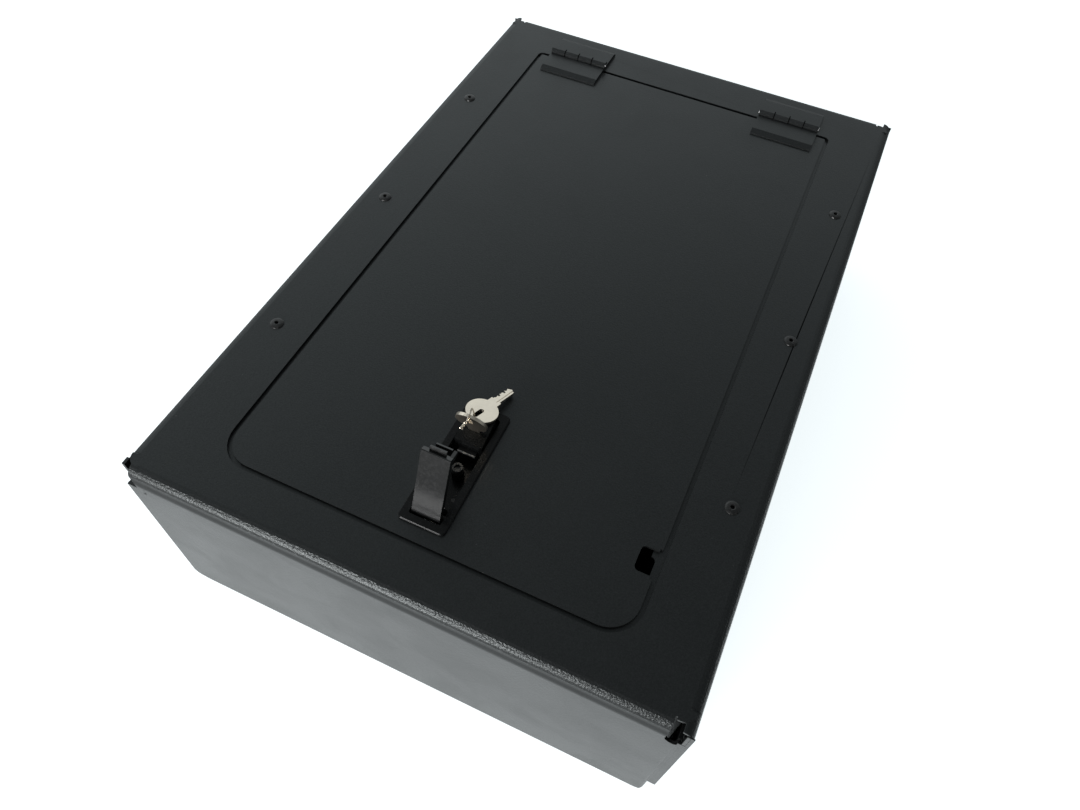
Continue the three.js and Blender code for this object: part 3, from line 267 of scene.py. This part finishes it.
def cast_black(name, gloss, smoothest):
    """Black paint over a casting, with soft flow marks and fine scuffs."""
    material, g = new_material(name)
    place = g.place()
    flow = g.noise(90.0, 2.0, 0.5, place)
    scuff = g.noise(420.0, 4.0, 0.7, place)
    rough = g.plus(smoothest, g.rise(scuff, 0.45, 0.8), 0.08)
    base = g.mix_colour(g.rise(scuff, 0.5, 0.85), grey(0.005, COOL), grey(0.014, COOL))
    bump = g.bump(g.plus(flow, scuff, 0.12), 0.05, 0.00015)
    look = {"Base Color": base, "Roughness": rough, "Normal": bump}
    g.finish(g.add("BsdfPrincipled", look | {"Specular IOR Level": gloss}))
    return material


def fine_scuffs(g, place):
    """The fine scuffs of small steel parts, and the roughness and bump that go with them."""
    scuff = g.noise(700.0, 3.0, 0.6, place)
    return scuff, g.plus(0.26, scuff, 0.18), g.bump(scuff, 0.2, 0.00005)


def rivet_black():
    """Smooth black finish on small fasteners."""
    material, g = new_material("rivet_black")
    scuff, rough, bump = fine_scuffs(g, g.place())
    base = g.mix_colour(g.rise(scuff, 0.45, 0.8), grey(0.008), grey(0.03))
    look = {"Base Color": base, "Roughness": rough, "Normal": bump}
    g.finish(g.add("BsdfPrincipled", look))
    return material


def metal(name, light, dark, tint, roughness, brush):
    """Plated metal with fine brushing along Y and cloudy variation."""
    material, g = new_material(name)
    place = g.place()
    stretched = g.add("Mapping", {"Vector": place, "Scale": (1.0, 0.08, 1.0)}).outputs[0]
    lines = g.noise(brush, 3.0, 0.6, stretched)
    cloud = g.noise(160.0, 3.0, 0.6, place)
    base = g.mix_colour(g.rise(cloud, 0.3, 0.75), grey(dark, tint), grey(light, tint))
    smoothest, roughest = roughness
    rough = g.plus(smoothest, lines, roughest - smoothest)
    bump = g.bump(lines, 0.18, 0.00004)
    look = {"Base Color": base, "Metallic": 1.0, "Roughness": rough, "Normal": bump}
    g.finish(g.add("BsdfPrincipled", look))
    return material


def worn_tongue():
    """Black steel, worn bright along the tip that slides over the lever's hook."""
    material, g = new_material("worn_tongue")
    place = g.place()
    ragged = g.noise(900.0, 3.0, 0.6, place)
    edge = g.plus(g.split(place)["Y"], ragged, 0.0006)
    bare = g.math("LESS_THAN", edge, TONGUE_WORN_TO)
    _, rough, bump = fine_scuffs(g, place)
    base = g.mix_colour(bare, grey(0.012), grey(0.6))
    look = {"Base Color": base, "Metallic": bare, "Roughness": rough, "Normal": bump}
    g.finish(g.add("BsdfPrincipled", look))
    return material


def gap_painted_shade():
    """Painted shade for a narrow gap: a matt near-black with no gloss."""
    material, g = new_material("gap_painted_shade")
    look = {"Base Color": grey(0.002), "Roughness": 1.0, "Specular IOR Level": 0.0}
    g.finish(g.add("BsdfPrincipled", look))
    return material


SLOT_MATERIALS = {
    "powder_coat": powder_coat(),
    "handle_black": cast_black("handle_black", 0.2, 0.24),
    "rivet_black": rivet_black(),
    "zinc_steel": metal("zinc_steel", 0.62, 0.5, (1.0, 1.0, 1.01), (0.22, 0.42), 1800.0),
    "nickel": metal("nickel", 0.99, 0.9, (1.0, 0.9, 0.76), (0.26, 0.4), 2400.0),
}


# The frame's own solids


# How far the solids' edges are rounded in millimetres, by the start of their names
EDGE_WIDTHS = {
    "cabinet_shell": 0.35,
    "back_panel": 0.3,
    "side_bracket": 0.2,
    "door_panel": 0.35,
    "door_stop_frame": 0.2,
    "strike_plate": 0.2,
    "hinge_fixed_leaf": 0.3,
    "hinge_door_leaf": 0.3,
    "hinge_pin": 0.2,
    "frame_nut": 0.2,
    "door_nut": 0.2,
    "rivet": 0.15,
    "handle_dish": 0.3,
    "mounting_screw": 0.2,
    "mounting_bridge": 0.25,
    "bolt_guide": 0.2,
    "guide_screw": 0.15,
    "slide_bolt": 0.2,
    "lever_grip": 0.35,
    "lock_housing": 0.3,
    "housing_screw": 0.15,
    "lock_barrel": 0.25,
    "lock_plug": 0.15,
    "lock_tongue": 0.15,
    "key_in_lock": 0.22,
    "spare_key": 0.22,
    "pivot_pin": 0.15,
    "drive_pin": 0.15,
    "plug_clip": 0.1,
}

# In degrees: faces that meet flatter than this are merged, and edges sharper than this rounded
FLAT_ANGLE = 0.6
SHARP_ANGLE = 32.0


def smooth(solid):
    for polygon in solid.data.polygons:
        polygon.use_smooth = True


def soften(solid, width):
    """Rounds a solid's hard edges by width, in millimetres, and keeps its flat faces flat."""
    smooth(solid)
    merge = solid.modifiers.new("merge_flat", "DECIMATE")
    merge.decimate_type = "DISSOLVE"
    merge.angle_limit = math.radians(FLAT_ANGLE)
    bevel = solid.modifiers.new("soft_edges", "BEVEL")
    bevel.width = width * MM
    bevel.segments = 2
    bevel.limit_method = "ANGLE"
    bevel.angle_limit = math.radians(SHARP_ANGLE)
    bevel.use_clamp_overlap = False
    bevel.miter_outer = "MITER_ARC"
    shade = solid.modifiers.new("flat_faces", "WEIGHTED_NORMAL")
    shade.weight = 60
    shade.keep_sharp = False


def dress_solids():
    """Gives each solid its slot's material and soft edges."""
    for part in frame["record"]["subparts"]:
        solid = nodes[part["node"]]
        solid.data.materials.clear()
        solid.data.materials.append(SLOT_MATERIALS[part["material_slot"]])
    nodes["lock_tongue"].data.materials[0] = worn_tongue()
    nodes["lever_grip"].data.materials[0] = cast_black("lever_black", 0.75, 0.18)
    for name, solid in nodes.items():
        widths = [width for start, width in EDGE_WIDTHS.items() if name.startswith(start)]
        if widths:
            soften(solid, widths[0])
        else:
            smooth(solid)


def turn_spare_key():
    """The spare key turned over to its other face, with its cuts on the left as in the photo."""
    mesh = nodes["spare_key"].data.copy()
    turn = Matrix.Rotation(math.pi, 4, SPARE_ALONG)
    mesh.transform(Matrix.Translation(SPARE_MIDDLE) @ turn @ Matrix.Translation(-SPARE_MIDDLE))
    key = bpy.data.objects.new("spare_key_turned", mesh)
    bpy.context.scene.collection.objects.link(key)
    soften(key, EDGE_WIDTHS["spare_key"])
    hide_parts("spare_key")
    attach(key, "spare")


# Small pieces of the shell and the hinges that only show up close


def prism(name, outline, start, end, side, material, soft=True):
    """A closed bar with an outline in X and Z, from start to end along Y, mirrored to a side."""
    points = [(side * x * MM, y * MM, z * MM) for y in (start, end) for x, z in outline]
    count = len(outline)
    faces = [tuple(range(count)), tuple(range(2 * count - 1, count - 1, -1))]
    for i in range(count):
        j = (i + 1) % count
        faces.append((j, i, i + count, j + count))
    mesh = bpy.data.meshes.new(name)
    mesh.from_pydata(points, [], faces)
    piece = bpy.data.objects.new(name, mesh)
    bpy.context.scene.collection.objects.link(piece)
    mesh.materials.append(material)
    volume = bmesh.new()
    volume.from_mesh(mesh)
    bmesh.ops.recalc_face_normals(volume, faces=volume.faces)
    volume.to_mesh(mesh)
    volume.free()
    if soft:
        edge = piece.modifiers.new("soft_edges", "BEVEL")
        edge.width = CORNER_EDGE * MM
        edge.segments = 2
        edge.limit_method = "ANGLE"
        edge.angle_limit = math.radians(CORNER_EDGE_ANGLE)
    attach(piece, "cabinet")
    return piece


def bar(name, x, y, z, side, soft=True):
    """A plain closed bar between pairs of X, Y and Z, mirrored to a side."""
    outline = [(x[0], z[0]), (x[1], z[0]), (x[1], z[1]), (x[0], z[1])]
    return prism(name, outline, y[0], y[1], side, SLOT_MATERIALS["powder_coat"], soft)


def quarter_turn(piece, way):
    """Turns a piece's mesh by a quarter about Z, so that its length lies along X."""
    for vertex in piece.data.vertices:
        x, y, z = vertex.co
        vertex.co = (way * y, -way * x, z)


def arc(x, z, radius, degrees):
    """Points on a circle about X and Z."""
    angles = [math.radians(angle) for angle in degrees]
    return [(x + radius * math.cos(a), z + radius * math.sin(a)) for a in angles]


def bend_outline(low):
    """The section of a side bend and the top of its wall, down to a height."""
    x, z = HALF_WIDTH - BEND_RADIUS, FACE_TOP - BEND_RADIUS
    degrees = [90 * i / BEND_STEPS for i in range(BEND_STEPS + 1)]
    outer = arc(x, z, BEND_RADIUS, degrees)
    inner = arc(x, z, BEND_RADIUS - SHEET, degrees)
    return [(HALF_WIDTH, low)] + outer + inner[::-1] + [(HALF_WIDTH - SHEET, low)]


def add_side_corner(side, end):
    """The bend, the wall and the return of a side wall at one end of it."""
    label = f"{'left' if side == LEFT else 'right'}_{'near' if end < 0 else 'far'}"
    coat = SLOT_MATERIALS["powder_coat"]
    heights = (WALL_TOP, RETURN_TOP)
    wall_in = HALF_WIDTH - SHEET
    covered = side == LEFT and end < 0
    tip = end * (HALF_LENGTH - TIP_INSET)
    bend_to = end * (COVERED_BEND_TO if covered else BEND_TO)
    wall_to = end * COVERED_WALL_TO if covered else tip
    bend = bend_outline(WALL_TOP)
    prism(f"side_bend_end_{label}", bend, end * BEND_FROM, bend_to, side, coat)
    if not covered:
        across = (HALF_WIDTH - RETURN_REACH, wall_in)
        bar(f"side_return_top_{label}", across, (tip, tip - end * SHEET), heights, side)
    across = (wall_in, HALF_WIDTH)
    bar(f"side_wall_end_{label}", across, (bend_to, wall_to), heights, side, soft=False)


def add_near_wall_ends():
    """The near wall's seam at its right, and its foot and the end of its bend at its left."""
    coat = SLOT_MATERIALS["powder_coat"]
    face = -HALF_LENGTH
    across = [HALF_WIDTH - inset for inset in SEAM_ACROSS]
    bar("end_seam_right_near", across, (face + SEAM_INSET, face + SHEET), SEAM_HEIGHTS, RIGHT)

    foot = arc(HALF_WIDTH - FOOT_RADIUS, FOOT_HEIGHT + FOOT_RADIUS, FOOT_RADIUS, range(-90, 1, 15))
    top = [(HALF_WIDTH, WALL_TOP), (EDGE_FROM, WALL_TOP)]
    edge = [(EDGE_FROM, FOOT_HEIGHT)] + foot + top
    prism("end_edge_left_near", edge, face, face + SHEET, LEFT, coat, soft=False)

    # The side walls' bend, moved out to the near wall and turned to run along it
    outline = [(x - HALF_WIDTH + HALF_LENGTH, z) for x, z in bend_outline(WALL_TOP - END_BEND_DROP)]
    start, end = END_BEND_ACROSS
    quarter_turn(prism("end_bend_left_near", outline, -start, -end, 1, coat), 1)


def add_corners():
    for side in (LEFT, RIGHT):
        for end in (-1, 1):
            add_side_corner(side, end)
    add_near_wall_ends()


def add_knuckle_gaps():
    """Painted shade in the gaps between a hinge's knuckles, as thin matt black rings round the
    barrel.
    """
    # The rings carry painted shade: black that stands in for the shadow inside the gaps.
    dark = gap_painted_shade()
    sides = [360 * i / RING_SIDES for i in range(RING_SIDES)]
    for label in ("left", "right"):
        low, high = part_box(f"hinge_pin_{label}")
        y = (low[1] + high[1]) / 2 / MM
        z = (low[2] + high[2]) / 2 / MM
        start = low[0] / MM + PIN_PROUD
        pitch = (high[0] - low[0] - 2 * PIN_PROUD * MM) / KNUCKLES / MM
        for i in range(1, KNUCKLES):
            x = start + i * pitch
            name = f"knuckle_gap_{label}_{i}"
            ring = arc(y, z, RING_RADIUS, sides)
            gap = prism(name, ring, -x - RING_HALF, -x + RING_HALF, 1, dark, soft=False)
            quarter_turn(gap, -1)


# Stage and light

# Half the floor's width, in metres
FLOOR_REACH = 6.0

# The floor's own grey, its glow to the camera, and the grey that gloss finds on it
FLOOR_GREY = 0.86
FLOOR_GLOW = 0.85
FLOOR_GREY_IN_GLOSS = 0.05

# What gloss sees of the floor's light, by the distance from the middle in metres
FLOOR_IN_GLOSS = ((0.4, 0.8), (0.6, 0.1))
FLOOR_FULL_IN_GLOSS = 0.9

# The world's light by how steeply a direction rises, towards the far and the near side
FAR_LIGHT = (
    (0.0, 0.5), (0.4, 0.92), (0.55, 0.75), (0.65, 0.64), (0.75, 0.5), (0.85, 0.36), (0.92, 0.26),
)
NEAR_LIGHT = ((0.0, 0.06), (0.3, 0.22), (0.92, 0.26))

# Where the near side's light turns into the far side's, and how the light falls to the right
FAR_FROM_NEAR = (0.42, 0.62)
ACROSS_MIDDLE = 0.8
ACROSS_FALL = 0.85
ACROSS_LEAST = 0.3
ACROSS_MOST = 1.35

# The one lamp, a softbox in front of the near wall, in metres and watts
LAMP_PLACE = Vector((-0.55, -2.05, 0.5))
LAMP_TARGET = Vector((0.0, -0.1, 0.12))
LAMP_SIZE = (1.3, 0.6)
LAMP_POWER = 46.0


def add_floor():
    """A plain white floor, which keeps the object's shadow."""
    mesh = bpy.data.meshes.new("floor")
    reach = FLOOR_REACH
    corners = [(-reach, -reach, 0), (reach, -reach, 0), (reach, reach, 0), (-reach, reach, 0)]
    mesh.from_pydata(corners, [], [(0, 1, 2, 3)])
    floor = bpy.data.objects.new("floor", mesh)
    bpy.context.scene.collection.objects.link(floor)
    material, g = new_material("floor")
    away = g.add("VectorMath", {0: g.place()}, operation="LENGTH").outputs["Value"]
    near_glow = g.ramp(away, FLOOR_IN_GLOSS)
    path = g.add("LightPath").outputs
    seen = g.math("MAXIMUM", path["Is Camera Ray"], path["Is Transmission Ray"])
    reflected = g.math("MULTIPLY", path["Is Glossy Ray"], near_glow)
    strength = g.math("ADD", g.math("MULTIPLY", seen, FLOOR_GLOW), reflected)
    missing = g.math("SUBTRACT", FLOOR_FULL_IN_GLOSS, near_glow)
    hidden = g.math("MULTIPLY", path["Is Glossy Ray"], missing)
    colour = g.mix_colour(hidden, grey(FLOOR_GREY), grey(FLOOR_GREY_IN_GLOSS))
    paper = g.add("BsdfDiffuse", {"Color": colour})
    glow = g.add("Emission", {"Color": grey(1.0, LIGHT_TINT), "Strength": strength})
    g.finish(g.add("AddShader", {0: paper.outputs[0], 1: glow.outputs[0]}))
    mesh.materials.append(material)


def add_world():
    """Soft light from all round, brighter from the far left, and white to the camera."""
    world = bpy.data.worlds.new("world")
    world.use_nodes = True
    bpy.context.scene.world = world
    g = Graph(world.node_tree)
    direction = g.split(g.add("TexCoord").outputs["Generated"])
    far = g.ramp(direction["Z"], FAR_LIGHT)
    near = g.ramp(direction["Z"], NEAR_LIGHT)
    farness = g.math("ADD", g.math("MULTIPLY", direction["Y"], 0.5), 0.5)
    side = g.rise(farness, *FAR_FROM_NEAR)
    left = g.math("SUBTRACT", ACROSS_MIDDLE, g.math("MULTIPLY", direction["X"], ACROSS_FALL))
    left = g.math("MINIMUM", g.math("MAXIMUM", left, ACROSS_LEAST), ACROSS_MOST)
    level = g.math("MULTIPLY", g.mix_colour(side, near, far), left)
    level = g.add("VectorMath", {0: level, 1: LIGHT_TINT}, operation="MULTIPLY").outputs[0]
    white = g.add("LightPath").outputs["Is Camera Ray"]
    shown = g.mix_colour(white, level, grey(1.0))
    back = g.add("Background", {"Color": shown, "Strength": 1.0})
    out = g.add("OutputWorld")
    g.tree.links.new(back.outputs[0], out.inputs["Surface"])


def add_lamp():
    data = bpy.data.lights.new("near_box", "AREA")
    data.shape = "RECTANGLE"
    data.size, data.size_y = LAMP_SIZE
    data.energy = LAMP_POWER
    lamp = bpy.data.objects.new("near_box", data)
    lamp.location = LAMP_PLACE
    lamp.rotation_mode = "QUATERNION"
    lamp.rotation_quaternion = (LAMP_TARGET - LAMP_PLACE).to_track_quat("-Z", "Y")
    bpy.context.scene.collection.objects.link(lamp)


add_camera()
dress_solids()
turn_spare_key()
add_corners()
add_knuckle_gaps()
add_floor()
add_world()
add_lamp()

bpy.context.scene.view_settings.view_transform = "Standard"
bpy.context.view_layer.update()
